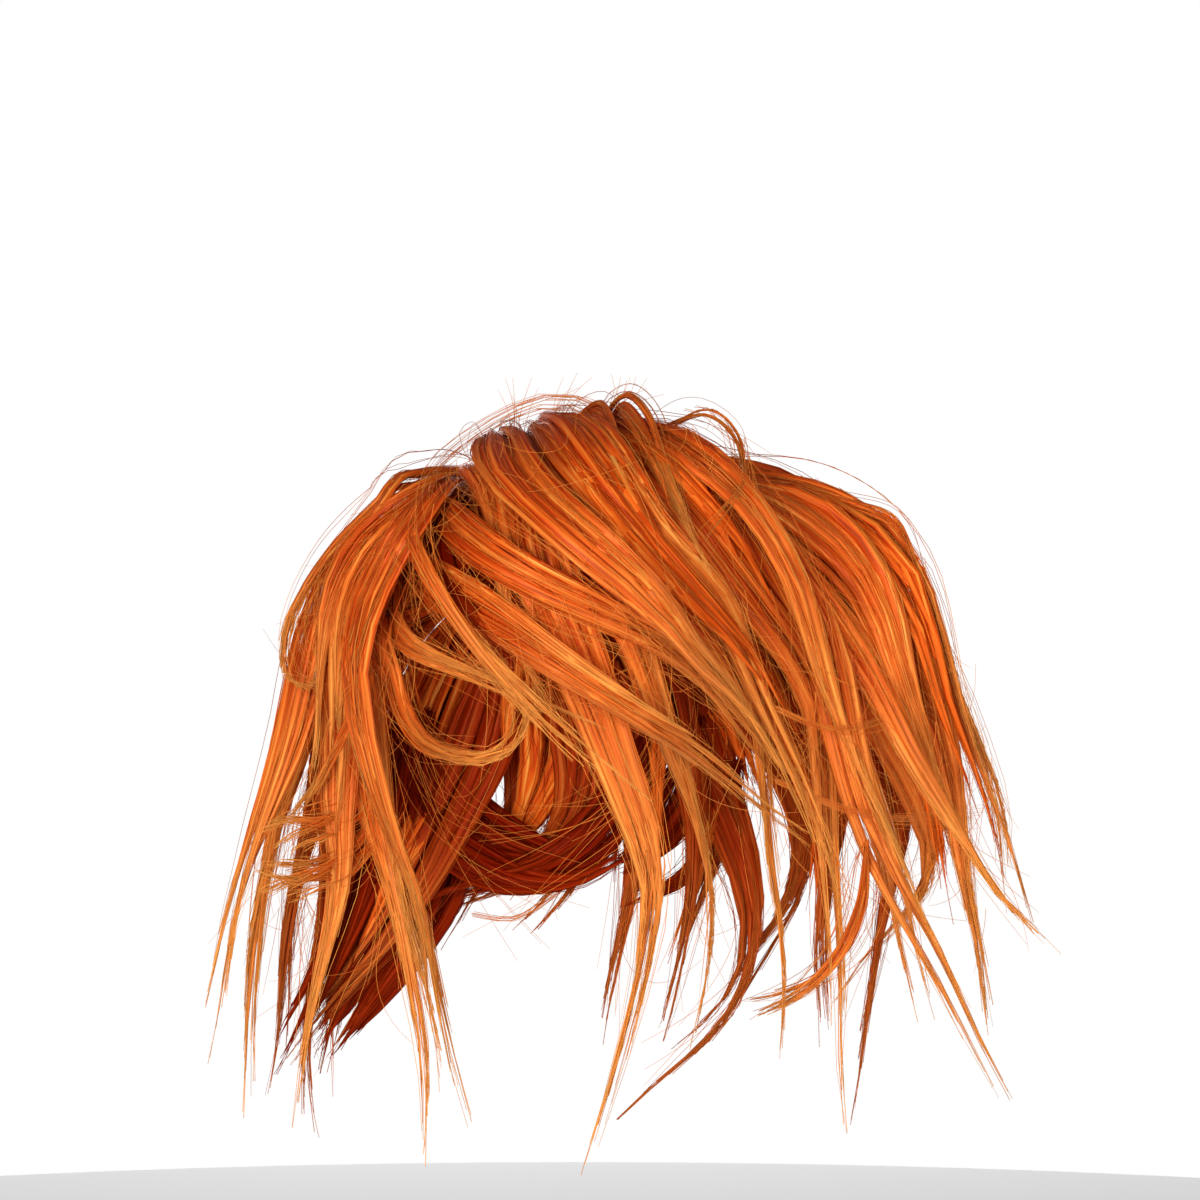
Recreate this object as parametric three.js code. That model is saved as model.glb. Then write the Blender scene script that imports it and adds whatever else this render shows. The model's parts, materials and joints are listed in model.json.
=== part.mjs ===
// A messy-bun hairpiece: an elastic band with locks of false hair sewn on all round it, in the
// form that it takes when it is worn.
// Millimetres, +Z up. The origin is the centre of the band, whose axis is Y. What it is worn on
// comes in from +Y and fills the hollow behind the front locks, which face -Y.
import * as THREE from "three";

// Elastic band
const BAND_RADIUS = 28;
const BAND_CORD_RADIUS = 2.6;
const BAND_STEPS = 48;
const CORD_SIDES = 10;

// The hollow that the hair is draped round: a ball, and the neck that the band grips
const HOLLOW = {
  center: new THREE.Vector3(0, -37, -26),
  half: new THREE.Vector3(49, 34, 51),
  neckRadius: 24,
};

// Roots: two rows sewn to the outside of the band
const ROOT_GAP = 0.8;
const ROOT_RADIUS = BAND_RADIUS + BAND_CORD_RADIUS + ROOT_GAP;
const ROOT_ROW_Y = { front: -3.7, back: 3.7 };
const ROOT_HALF_WIDTH = 1.8;
const ROOT_HALF_THICKNESS = 2.6;
const LIFT_SPREAD = 1.4;

// Body and tip of a lock
const LOCK_HALF_THICKNESS = 2.3;
const TIP_HALF_WIDTH = 0.8;
const TIP_HALF_THICKNESS = 0.6;
const FULL_WIDTH_AT = 0.3;
const TAPER_FROM = 0.5;
const TURN_RATE = 0.3;

// How far forward each layer of hair lies, at the sides and in front of the hollow
const LAYERS = [
  { sideY: 15, frontY: 14 },
  { sideY: 6, frontY: 6 },
  { sideY: -2, frontY: -74 },
  { sideY: -9, frontY: -81 },
  { sideY: -16, frontY: -88 },
  { sideY: -23, frontY: -95 },
];
const FIRST_FRONT_LAYER = 2;
const HOLLOW_REACH_X = 52;
const CREST_Z = 38;
const BROW_Z = 1;
const RETURN_BELOW_Z = -79;
const RETURN_SLOPE = 0.16;
const SWAY_REACH = 14;
const SWAY_TURN = 2.4;
const SWAY_FROM_Z = -54;
const SWAY_FULL_Z = -124;
const SLOPE_STEP = 1;

// Curled ends: degrees a point, and how far an end comes forward for its radius
const CURL_STEP = 30;
const CURL_ADVANCE = 0.6;

// Meshing of a lock
const SAMPLES = 64;
const SECTIONS = 18;
const CURL_SECTIONS = 27;
const SECTION_SIDES = 8;

// Settling: locks are pushed clear of each other, of the hollow and of the band
const SETTLE_PASSES = 400;
const SETTLE_RATE = 0.9;
const SETTLE_GAP = 1.6;
const SETTLE_ROOT_GAP = 0.35;
const SETTLE_GAP_FROM = 0.12;
const SETTLE_SMOOTHING = 4;
const SMOOTH_SELF = 0.5;
const SMOOTH_NEXT = 0.25;
const SETTLE_RECALL = 0.02;
const RECALL_PASSES = 280;
const HELD_SAMPLES = 3;
const FAIRED_SAMPLES = 6;
const FAIRING = 0.25;
const LAYER_BIAS = 0.6;
const BIAS_FROM = 0.12;
const CELL_MARGIN = 1;
const CELL = 2 * LOCK_HALF_THICKNESS + SETTLE_GAP + CELL_MARGIN;
const CELLS_PER_SIDE = 1000;
const AROUND = [-1, 0, 1];
const LEAST_DISTANCE = 1e-6;

// Colours. Locks of the back layers are shaded, apart from those at the outline, in the light
const HAIR_COLOR = 0xdd6a1c;
const SHADED_HAIR_COLOR = 0xa83c0c;
const OUTLINE_LOCKS = ["left_lock_2", "right_lock_1", "right_lock_4", "right_lock_7"];
const HAIR_ROUGHNESS = 0.45;
const BAND_COLOR = 0x6e2a10;
const BAND_ROUGHNESS = 0.8;

// One row for each lock. root is the angle round the band, from +X towards +Z. lift is how far the
// hair stands off the band before it bends over. over, bend, hang and tip are the points that the
// lock passes, seen from the front. curl is an arc added past the tip.
const COLUMNS = [
  "name", "layer", "row", "root", "lift", "overX", "overZ", "bendX", "bendZ",
  "hangX", "hangZ", "tipX", "tipZ", "curlRadius", "curlTurn", "width",
];
const LOCKS = [
  ["crown_lock_1", 5, "front", 134, 3, -5, 2, 21, -21, 53, -51, 75, -85, 0, 0, 16],
  ["crown_lock_2", 4, "front", 118, 3, 9, 4, 31, -20, 60, -56, 67, -147, 0, 0, 16],
  ["crown_lock_3", 5, "front", 109, 2, 19, 9, 43, -20, 69, -61, 83, -110, 0, 0, 16],
  ["crown_lock_4", 4, "front", 92, 2, 26, 13, 51, -15, 78, -79, 87, -173, 0, 0, 16],
  ["crown_lock_5", 5, "front", 77, 3, 35, 17, 63, -17, 88, -67, 102, -113, 0, 0, 15],
  ["crown_lock_6", 4, "front", 62, 4, 47, 16, 79, -36, 103, -106, 132, -172, 0, 0, 15],
  ["cross_lock_1", 3, "front", 177, 5, -37, -1, -8, -21, 37, -45, 78, -87, 0, 0, 14],
  ["cross_lock_2", 3, "front", 193, 6, -41, -22, -13, -35, 21, -54, 68, -95, 0, 0, 13],
  ["cross_lock_3", 4, "front", 185, 6, -43, -7, -34, -33, -13, -56, 9, -76, 0, 0, 11],
  ["cross_lock_4", 2, "front", 201, 6, -52, -16, -46, -34, -27, -46, -6, -57, 0, 0, 10],
  ["left_lock_1", 2, "back", 163, 5, -52, 3, -76, -20, -84, -66, -117, -157, 0, 0, 14],
  ["left_lock_2", 1, "back", 182, 6, -54, -8, -76, -44, -94, -95, -104, -170, 0, 0, 14],
  ["left_lock_3", 0, "back", 191, 7, -55, -12, -73, -54, -87, -126, -95, -168, 0, 0, 15],
  ["left_lock_4", 3, "back", 173, 5, -52, -4, -70, -42, -78, -101, -91, -188, 0, 0, 15],
  ["left_lock_5", 4, "front", 168, 5, -47, -1, -65, -32, -61, -84, -39, -154, 0, 0, 15],
  ["left_lock_6", 5, "front", 159, 4, -43, 2, -62, -35, -54, -96, -32, -179, 0, 0, 13],
  ["left_lock_7", 2, "back", 201, 7, -60, -24, -66, -67, -59, -120, -45, -184, 0, 0, 13],
  ["left_lock_8", 1, "back", 211, 7, -58, -33, -74, -76, -85, -141, -81, -179, 0, 0, 13],
  ["right_lock_1", 1, "back", 27, 6, 66, 13, 103, -2, 125, -54, 144, -107, 0, 0, 8],
  ["right_lock_2", 2, "front", 26, 6, 64, 6, 97, -20, 113, -68, 125, -118, 0, 0, 15],
  ["right_lock_3", 3, "front", 36, 6, 57, 7, 94, -49, 125, -101, 162, -141, 0, 0, 14],
  ["right_lock_4", 1, "back", 15, 6, 64, 0, 109, -56, 129, -112, 131, -162, 0, 0, 14],
  ["right_lock_5", 2, "front", 13, 7, 63, -13, 100, -65, 117, -110, 93, -144, 0, 0, 13],
  ["right_lock_6", 0, "back", 2, 7, 60, -16, 103, -78, 96, -118, 86, -174, 0, 0, 15],
  ["right_lock_7", 0, "back", 38, 6, 70, 6, 106, -30, 125, -73, 136, -110, 0, 0, 15],
  ["right_lock_8", 3, "front", -2, 7, 52, -20, 83, -61, 99, -104, 113, -151, 0, 0, 13],
  ["fall_lock_1", 2, "front", 126, 3, -13, -2, 1, -54, 26, -118, 11, -181, 0, 0, 16],
  ["fall_lock_2", 2, "front", 101, 3, 12, -4, 31, -68, 47, -121, 39, -157, 0, 0, 14],
  ["fall_lock_3", 1, "back", 284, 7, 26, -36, 40, -85, 37, -116, 30, -149, 0, 0, 10],
  ["fall_lock_4", 1, "back", 274, 7, 10, -36, 20, -92, 18, -129, 15, -160, 0, 0, 12],
  ["fall_lock_5", 1, "back", 304, 7, 29, -33, 51, -101, 53, -143, 24, -180, 0, 0, 14],
  ["fall_lock_6", 2, "front", 142, 3, -26, 2, -24, -18, -17, -38, -8, -54, 0, 0, 14],
  ["nape_lock_1", 1, "back", 254, 7, -4, -39, 4, -85, -16, -110, -41, -121, 0, 0, 18],
  ["nape_lock_2", 1, "back", 233, 7, -22, -42, -34, -89, -58, -129, -81, -160, 0, 0, 18],
  ["nape_lock_3", 0, "back", 222, 6, -38, -39, -56, -85, -70, -126, -78, -158, 0, 0, 18],
  ["nape_lock_4", 1, "back", 314, 7, 40, -36, 68, -85, 74, -116, 58, -144, 0, 0, 15],
  ["nape_lock_5", 1, "back", 327, 7, 49, -27, 86, -82, 85, -120, 82, -152, 0, 0, 14],
  ["nape_lock_6", 0, "back", 244, 7, -10, -44, -16, -84, -24, -106, -36, -122, 0, 0, 20],
  ["nape_lock_7", 0, "back", 264, 7, 6, -42, 8, -82, 4, -106, -8, -121, 0, 0, 20],
  ["nape_lock_8", 0, "back", 294, 7, 34, -38, 44, -76, 47, -102, 40, -132, 0, 0, 18],
  ["front_curl", 3, "front", 210, 8, -54, -32, -55, -52, -47, -67, -33, -72, 13, 160, 9],
  ["side_curl", 3, "back", 153, 4, -56, 6, -79, -14, -89, -32, -90, -44, 5.5, 250, 5],
  ["top_wisp", 5, "front", 48, 6, 43, 35, 52, 27, 54, 15, 49, 4, 0, 0, 4],
].map((row) => Object.fromEntries(COLUMNS.map((column, i) => [column, row[i]])));

// Depth of a layer of hair at a point seen from the front
function drapeY(layer, x, z) {
  const { sideY, frontY } = LAYERS[layer];
  const inFront = Math.exp(-Math.pow(Math.abs(x) / HOLLOW_REACH_X, 3));
  const belowCrest = THREE.MathUtils.smoothstep(CREST_Z - z, 0, CREST_Z - BROW_Z);
  const returnSlope = layer < FIRST_FRONT_LAYER ? 0 : RETURN_SLOPE;
  const swungBack = returnSlope * Math.max(0, RETURN_BELOW_Z - z);
  return sideY + (frontY - sideY + swungBack) * inFront * belowCrest;
}

// Points of the arc that curls a lock's end, turned in the front view
function curlPoints(from, to, depth, radius, turn) {
  const heading = Math.atan2(to.z - from.z, to.x - from.x);
  const side = Math.sign(turn);
  const centerX = to.x - side * radius * Math.sin(heading);
  const centerZ = to.z + side * radius * Math.cos(heading);
  const steps = Math.ceil(Math.abs(turn) / CURL_STEP);
  const start = Math.atan2(to.z - centerZ, to.x - centerX);
  const points = [];
  for (let i = 1; i <= steps; i++) {
    const angle = start + THREE.MathUtils.degToRad((turn * i) / steps);
    const x = centerX + radius * Math.cos(angle);
    const z = centerZ + radius * Math.sin(angle);
    const y = depth - (CURL_ADVANCE * radius * i) / steps;
    points.push(new THREE.Vector3(x, y, z));
  }
  return points;
}

// The line that a lock follows from its root to its tip
function lockRoute(lock, index) {
  const angle = THREE.MathUtils.degToRad(lock.root);
  const out = new THREE.Vector3(Math.cos(angle), 0, Math.sin(angle));
  const rowY = ROOT_ROW_Y[lock.row];
  const root = out.clone().multiplyScalar(ROOT_RADIUS).setY(rowY);
  const lifted = out.clone().multiplyScalar(ROOT_RADIUS + lock.lift).setY(rowY * LIFT_SPREAD);
  const sway = SWAY_REACH * Math.sin(index * SWAY_TURN);
  const passes = ["over", "bend", "hang", "tip"].map((stage) => {
    const x = lock[stage + "X"];
    const z = lock[stage + "Z"];
    const swung = THREE.MathUtils.smoothstep(-z, -SWAY_FROM_Z, -SWAY_FULL_Z);
    return new THREE.Vector3(x, drapeY(lock.layer, x, z) + sway * swung, z);
  });
  const points = [root, lifted, ...passes];
  if (lock.curlRadius > 0) {
    const [from, to] = passes.slice(-2);
    points.push(...curlPoints(from, to, to.y, lock.curlRadius, lock.curlTurn));
  }
  const curve = new THREE.CatmullRomCurve3(points, false, "centripetal");
  return curve.getSpacedPoints(SAMPLES - 1);
}

// Half width and half thickness of a lock at a share of its length
function lockSize(lock, share) {
  const grow = THREE.MathUtils.smoothstep(share, 0, FULL_WIDTH_AT);
  const taper = THREE.MathUtils.smoothstep(share, TAPER_FROM, 1);
  const bodyWidth = THREE.MathUtils.lerp(ROOT_HALF_WIDTH, lock.width / 2, grow);
  const bodyThickness = Math.min(LOCK_HALF_THICKNESS, lock.width / 2);
  const thickness = THREE.MathUtils.lerp(ROOT_HALF_THICKNESS, bodyThickness, grow);
  return {
    width: THREE.MathUtils.lerp(bodyWidth, TIP_HALF_WIDTH, taper),
    thickness: THREE.MathUtils.lerp(thickness, TIP_HALF_THICKNESS, taper),
    gap: THREE.MathUtils.lerp(SETTLE_ROOT_GAP, SETTLE_GAP, Math.min(1, share / SETTLE_GAP_FROM)),
    bias: share > BIAS_FROM ? LAYER_BIAS : 0,
  };
}

// Direction that faces out of a layer of hair at a point
function outward(layer, point) {
  const { x, z } = point;
  const riseX = drapeY(layer, x + SLOPE_STEP, z) - drapeY(layer, x - SLOPE_STEP, z);
  const riseZ = drapeY(layer, x, z + SLOPE_STEP) - drapeY(layer, x, z - SLOPE_STEP);
  return new THREE.Vector3(riseX, -2 * SLOPE_STEP, riseZ).normalize();
}

// Directions across and through a lock at each of its points: its flat side starts square to the
// band's axis and turns to lie in its layer
function lockFrames(lock) {
  const { points, layer } = lock;
  let through = new THREE.Vector3(0, -1, 0);
  return points.map((point, i) => {
    const before = points[Math.max(0, i - 1)];
    const after = points[Math.min(points.length - 1, i + 1)];
    const along = after.clone().sub(before).normalize();
    const facing = outward(layer, point);
    facing.addScaledVector(along, -facing.dot(along));
    const turn = TURN_RATE * (facing.dot(through) < 0 ? -1 : 1);
    through = through.clone().addScaledVector(facing, turn);
    through.addScaledVector(along, -through.dot(along)).normalize();
    const across = along.clone().cross(through).normalize();
    return { across, through };
  });
}

// How far a point has to move to leave the hollow and to clear the band
function pushFromHollow(point, clearance) {
  const push = new THREE.Vector3();
  const { center, half, neckRadius } = HOLLOW;
  const local = point.clone().sub(center);
  const grown = half.clone().addScalar(clearance);
  const depth = local.clone().divide(grown).length();
  if (depth < 1 && depth > 0) {
    const away = local.clone().divide(grown).divide(grown).normalize();
    push.addScaledVector(away, (1 - depth) * half.y);
  }
  const radius = Math.hypot(point.x, point.z);
  const out = new THREE.Vector3(point.x, 0, point.z).normalize();
  if (point.y > center.y && radius < neckRadius + clearance) {
    push.addScaledVector(out, neckRadius + clearance - radius);
  }
  const fromCord = point.clone().addScaledVector(out, -BAND_RADIUS);
  const bite = BAND_CORD_RADIUS + clearance - fromCord.length();
  if (bite > 0) push.addScaledVector(fromCord.normalize(), bite);
  return push;
}

// Discs that stand for the flat section of a lock at each of its points
function lockDiscs(lock, index) {
  const frames = lockFrames(lock);
  return lock.points.flatMap((point, sample) => {
    const { width, thickness, gap, bias } = lock.sizes[sample];
    const radius = Math.min(width, thickness);
    const wide = width >= thickness;
    const axis = wide ? frames[sample].across : frames[sample].through;
    const reach = Math.abs(width - thickness);
    const facing = outward(lock.layer, point);
    return AROUND.map((side) => {
      const center = point.clone().addScaledVector(axis, side * reach);
      return { lock: index, layer: lock.layer, sample, center, radius, facing, gap, bias };
    });
  });
}

// Number of the grid cell that a point is in, and the steps to the cells round it
function cellNumber(i, j, k) {
  return (i * CELLS_PER_SIDE + j) * CELLS_PER_SIDE + k;
}
function cellKey({ x, y, z }) {
  return cellNumber(Math.floor(x / CELL), Math.floor(y / CELL), Math.floor(z / CELL));
}
const NEARBY_CELLS = AROUND.flatMap((i) => {
  return AROUND.flatMap((j) => AROUND.map((k) => cellNumber(i, j, k)));
});

// Pushes that two locks get where their discs come too close
function pushApart(discs, pushes) {
  const grid = new Map();
  for (const disc of discs) {
    const home = cellKey(disc.center);
    if (!grid.has(home)) grid.set(home, []);
    grid.get(home).push(disc);
  }
  const apart = new THREE.Vector3();
  for (const disc of discs) {
    const home = cellKey(disc.center);
    for (const step of NEARBY_CELLS) {
      const near = grid.get(home + step);
      for (const other of near ?? []) {
        if (other.lock <= disc.lock) continue;
        apart.subVectors(disc.center, other.center);
        const distance = apart.length() || LEAST_DISTANCE;
        const overlap = disc.radius + other.radius + Math.min(disc.gap, other.gap) - distance;
        if (overlap <= 0) continue;
        apart.divideScalar(distance);
        const bias = Math.min(disc.bias, other.bias) * Math.sign(disc.layer - other.layer);
        apart.addScaledVector(disc.facing, bias);
        apart.normalize().multiplyScalar(overlap / 2);
        const mine = pushes[disc.lock][disc.sample];
        const theirs = pushes[other.lock][other.sample];
        if (apart.length() > mine.length()) mine.copy(apart);
        if (apart.length() > theirs.length()) theirs.copy(apart).negate();
      }
    }
  }
}

// Evens out a row of moves along a lock, with its root held
function evenOut(moves) {
  for (let round = 0; round < SETTLE_SMOOTHING; round++) {
    const last = moves.map((move) => move.clone());
    for (let i = 1; i < moves.length - 1; i++) {
      moves[i].copy(last[i]).multiplyScalar(SMOOTH_SELF);
      moves[i].addScaledVector(last[i - 1], SMOOTH_NEXT).addScaledVector(last[i + 1], SMOOTH_NEXT);
    }
  }
  for (let i = 0; i < HELD_SAMPLES; i++) moves[i].multiplyScalar(i / HELD_SAMPLES);
}

// Straightens the first stretch of a lock, where roots crowd
function fairRoot(points) {
  const middle = new THREE.Vector3();
  for (let i = 1; i <= FAIRED_SAMPLES; i++) {
    middle.lerpVectors(points[i - 1], points[i + 1], 0.5);
    points[i].lerp(middle, FAIRING);
  }
}

// Lays the locks beside and over each other so that none touches another or fills the hollow
function settle(locks) {
  for (let pass = 0; pass < SETTLE_PASSES; pass++) {
    const pushes = locks.map((lock) => lock.points.map(() => new THREE.Vector3()));
    const recall = SETTLE_RECALL * Math.max(0, 1 - pass / RECALL_PASSES);
    pushApart(locks.flatMap(lockDiscs), pushes);
    locks.forEach((lock, index) => {
      lock.points.forEach((point, sample) => {
        const { thickness, gap } = lock.sizes[sample];
        pushes[index][sample].add(pushFromHollow(point, thickness + gap));
      });
      evenOut(pushes[index]);
      lock.points.forEach((point, sample) => {
        point.addScaledVector(pushes[index][sample], SETTLE_RATE);
        point.lerp(lock.route[sample], recall);
      });
      fairRoot(lock.points);
    });
  }
}

// Closed skin through the sections of a lock
function lockGeometry(lock) {
  const frames = lockFrames(lock);
  const sections = lock.curlRadius > 0 ? CURL_SECTIONS : SECTIONS;
  const positions = [];
  const index = [];
  for (let s = 0; s < sections; s++) {
    const sample = Math.round((s * (SAMPLES - 1)) / (sections - 1));
    const { across, through } = frames[sample];
    const { width, thickness } = lock.sizes[sample];
    for (let k = 0; k < SECTION_SIDES; k++) {
      const angle = (2 * Math.PI * k) / SECTION_SIDES;
      const corner = lock.points[sample].clone();
      corner.addScaledVector(across, width * Math.cos(angle));
      corner.addScaledVector(through, thickness * Math.sin(angle));
      positions.push(corner.x, corner.y, corner.z);
    }
  }
  for (let s = 0; s < sections - 1; s++) {
    for (let k = 0; k < SECTION_SIDES; k++) {
      const a = s * SECTION_SIDES + k;
      const b = s * SECTION_SIDES + ((k + 1) % SECTION_SIDES);
      index.push(a, a + SECTION_SIDES, b);
      index.push(b, a + SECTION_SIDES, b + SECTION_SIDES);
    }
  }
  const end = (sections - 1) * SECTION_SIDES;
  for (let k = 1; k < SECTION_SIDES - 1; k++) {
    index.push(0, k, k + 1);
    index.push(end, end + k + 1, end + k);
  }
  const geometry = new THREE.BufferGeometry();
  geometry.setAttribute("position", new THREE.Float32BufferAttribute(positions, 3));
  geometry.setIndex(index);
  geometry.computeVertexNormals();
  return geometry;
}

const hairpiece = new THREE.Group();

const band = new THREE.Mesh(
  new THREE.TorusGeometry(BAND_RADIUS, BAND_CORD_RADIUS, CORD_SIDES, BAND_STEPS),
  new THREE.MeshStandardMaterial({ color: BAND_COLOR, roughness: BAND_ROUGHNESS, metalness: 0 }),
);
band.name = "elastic_band";
band.rotation.x = Math.PI / 2;
hairpiece.add(band);

for (const [index, lock] of LOCKS.entries()) {
  lock.route = lockRoute(lock, index);
  lock.points = lock.route.map((point) => point.clone());
  lock.sizes = lock.points.map((_, i) => lockSize(lock, i / (SAMPLES - 1)));
}
settle(LOCKS);

for (const lock of LOCKS) {
  const shaded = lock.layer < FIRST_FRONT_LAYER && !OUTLINE_LOCKS.includes(lock.name);
  const color = shaded ? SHADED_HAIR_COLOR : HAIR_COLOR;
  const material = new THREE.MeshStandardMaterial({ color, roughness: HAIR_ROUGHNESS, metalness: 0 });
  const mesh = new THREE.Mesh(lockGeometry(lock), material);
  mesh.name = lock.name;
  hairpiece.add(mesh);
}

export default hairpiece;
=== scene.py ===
"""Messy bun hairpiece: locks of tousled orange hair, sewn to an elastic band and grown strand by strand."""
import json
import math
import random

import bmesh
import bpy
from bpy.props import FloatProperty, FloatVectorProperty, IntProperty, PointerProperty
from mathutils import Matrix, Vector
from mathutils.kdtree import KDTree


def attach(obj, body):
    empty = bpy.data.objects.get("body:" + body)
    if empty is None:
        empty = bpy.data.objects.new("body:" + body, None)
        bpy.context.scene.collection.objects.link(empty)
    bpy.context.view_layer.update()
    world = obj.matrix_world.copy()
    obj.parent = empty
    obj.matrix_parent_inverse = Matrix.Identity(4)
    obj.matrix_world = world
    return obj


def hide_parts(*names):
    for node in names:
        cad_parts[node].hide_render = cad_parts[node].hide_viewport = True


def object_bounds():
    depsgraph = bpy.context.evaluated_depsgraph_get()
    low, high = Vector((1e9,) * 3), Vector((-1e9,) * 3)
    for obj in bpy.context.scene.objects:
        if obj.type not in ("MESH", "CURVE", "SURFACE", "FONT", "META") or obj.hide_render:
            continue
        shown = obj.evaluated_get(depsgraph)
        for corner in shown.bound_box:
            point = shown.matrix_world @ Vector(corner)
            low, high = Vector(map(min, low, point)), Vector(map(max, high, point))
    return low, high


bl_info = {
    "name": "Messy bun hairpiece",
    "version": (1, 0, 0),
    "blender": (4, 5, 0),
    "location": "View3D > Sidebar > Hairpiece",
    "description": "Grows the strands, loose hairs, elastic and thread of a messy bun hairpiece",
    "category": "Object",
}

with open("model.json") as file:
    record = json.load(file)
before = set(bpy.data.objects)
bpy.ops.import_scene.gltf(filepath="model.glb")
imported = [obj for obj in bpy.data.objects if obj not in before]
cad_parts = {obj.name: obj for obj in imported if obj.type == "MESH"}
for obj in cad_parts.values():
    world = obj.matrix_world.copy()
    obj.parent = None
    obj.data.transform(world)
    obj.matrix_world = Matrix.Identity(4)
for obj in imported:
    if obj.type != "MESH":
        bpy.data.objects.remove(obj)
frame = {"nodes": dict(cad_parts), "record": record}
CAD_LOW, CAD_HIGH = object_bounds()

MM = 0.001
BACK = Vector((0.0, 1.0, 0.0))
BAND_NODE = "elastic_band"
SLOT_OF = {part["node"]: part["material_slot"] for part in frame["record"]["subparts"]}
LOCK_NODES = sorted(name for name in frame["nodes"] if name != BAND_NODE)
THIN_LOCKS = ("top_wisp",)
CURLED_LOCKS = ("front_curl", "side_curl", "top_wisp")

# Corners of a lock's section, and degrees round the cord from the front of the band to the lock
RING_CORNERS = 8
WRAP_ANGLES = (225, 185, 145, 110, 75)
# How near two locks run, and for how many sections, to have hair between them
SIDE_BY_SIDE = 26 * MM
LEAST_SHARED = 3
# Rounds that even out a lock's bends, and the depth of a line on the locks' face
BEND_PASSES = 3
DEPTH_PASSES = 3
# How near a section is to count for the face at a place
FACE_REACH = 9 * MM
# Wisps in a lock, and the points that they gather in at its tip
LEAST_WISPS = 4
MOST_WISPS = 16
TIP_POINTS = 3
# Share of the strands that bow out of their wisp
STRAY_SHARE = 0.13
# Lengths over which a lock, a wisp and a strand wave, and what sets one wave apart from the next
SWAY_WAVE = 75 * MM
TANGLE_WAVE = 60 * MM
FRIZZ_WAVE = 26 * MM
WAVE_STEP = 3.17
POINT_WAVES = 50
# Seeds of the locks, the hair between them and the wisps
SEED_STEP = 100
FILLER_SEED = 7000
WISP_SEED = 9000
# A lock's random choices: the place in this list sets each one's seed apart
CHOICES = (
    "wisp reach", "strand reach", "lane", "layer", "point side", "point face", "place round", "place off",
    "stray", "tip side", "tip face", "radius", "wisp tone", "strand tone", "width", "twist", "curl")

# Map of the strands: a row for each wisp at the bottom, and the strands above them
UV_MAP = "OFBake"
WISP_ROW = 0.024
STRAND_ROWS = 0.4
# Streaks along and across that map, the hair's warm gloss, and the finish of single hairs
BROAD_STREAKS = (4.0, 150.0)
FINE_STREAKS = (5.0, 520.0)
SHEEN = (1.0, 0.72, 0.4, 1.0)
FINE_FINISH = "golden_hair"

# What sets other hair apart from a common lock
CURL = {"Wisp width": 0.36, "Frizz": 0.5 * MM, "Sway": 3 * MM, "Fullness": 0.0}
THIN = {"Strands": 22, "Wisp width": 0.12, "Wisp thickness": 0.1, "Sway": 2 * MM}
FILLER = {"Strands": 24, "Points": 16}
LOOSE = {"Strands": 44, "Sway": 2 * MM, "Fullness": 0.0}
FRIZZY = {
    "Strands": 60, "Sway": 2 * MM, "Fray": 14 * MM, "Wisp width": 0.15, "Frizz": 2.5 * MM, "Fullness": 0.0}
INNER = {
    "Strands": 54, "Sway": 4 * MM, "Tangle": 6 * MM, "Wisp width": 0.21, "Wisp thickness": 0.12,
    "Frizz": 3 * MM, "Fullness": 0.0}
SINGLE = {"Points": 12, "Seed": 5, "Taper": 0.5}
# Steps of a single hair that leaves a lock, and how it bends down at each
STRAY_STEPS = 9
STRAY_FALL = Vector((0.0, 0.0, -0.07))

# The band's cover: steps along a ridge and round the cord, the ridges' slant and height; the thread's steps
RIDGE_STEPS = 8
CORD_CORNERS = 20
PLAIT_SLANT = 5
PLAIT_HEIGHT = 0.07
STEPS_A_TURN = 9

# Soft lights: name, place, size and power
LIGHTS = (
    ("key_light", (-0.5, -1.4, 0.05), 0.9, 19.0),
    ("fill_light", (1.0, -1.15, -0.1), 1.0, 9.5),
    ("back_light", (0.0, 1.35, -0.2), 1.2, 14.0),
)
FLOOR_MOTTLE = (0.7, 0.7, 0.7, 1.0)
FLOOR_GLOW = 0.22

# Wisps on the locks' face: name, half width, then points across, up and, off the face, back, in millimetres
LOOSE_WISPS = (
    ("crown_tuft", 3.4, (
        (11, 26, -6), (13, 34, -14), (16, 37, -20), (21, 31, -31), (27, 16), (36, -2), (47, -24))),
    ("crown_tuft_left", 4.0, ((0, 26, -6), (4, 33, -14), (8, 35, -22), (13, 28, -34), (19, 12), (26, -10))),
    ("left_outer_1", 5.0, (
        (-24, 14, -4), (-40, 13), (-55, 3), (-68, -9), (-76, -26), (-78, -46), (-79, -70), (-82, -95))),
    ("left_outer_2", 5.0, (
        (-26, 10, -4), (-38, 8), (-50, 0), (-62, -12), (-69, -28), (-71, -50), (-71, -75), (-73, -100))),
    ("right_edge", 1.8, ((74, 12), (88, 7), (102, 1), (109, -11), (114, -26), (120, -46))),
    ("left_thin", 2.0, ((-62, -48), (-70, -63), (-78, -76), (-86, -87), (-95, -98))),
    ("tip_wisp", 2.4, ((93, -100), (92, -118), (86, -134), (76, -145), (64, -152), (52, -156))),
)
# Frizzy ends that turn out between the locks on the left: name, half width, then points across, back and up
SIDE_ENDS = (
    ("side_end_1", 2.4, (
        (-62, -6, -82), (-70, -10, -92), (-80, -14, -96), (-90, -18, -98), (-99, -18, -104))),
    ("side_end_2", 2.4, (
        (-60, -4, -92), (-70, -8, -103), (-80, -12, -108), (-90, -14, -110), (-100, -14, -113))),
    ("side_end_3", 2.0, (
        (-62, -4, -100), (-70, -8, -110), (-80, -12, -113), (-90, -14, -114), (-99, -12, -112))),
)
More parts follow.
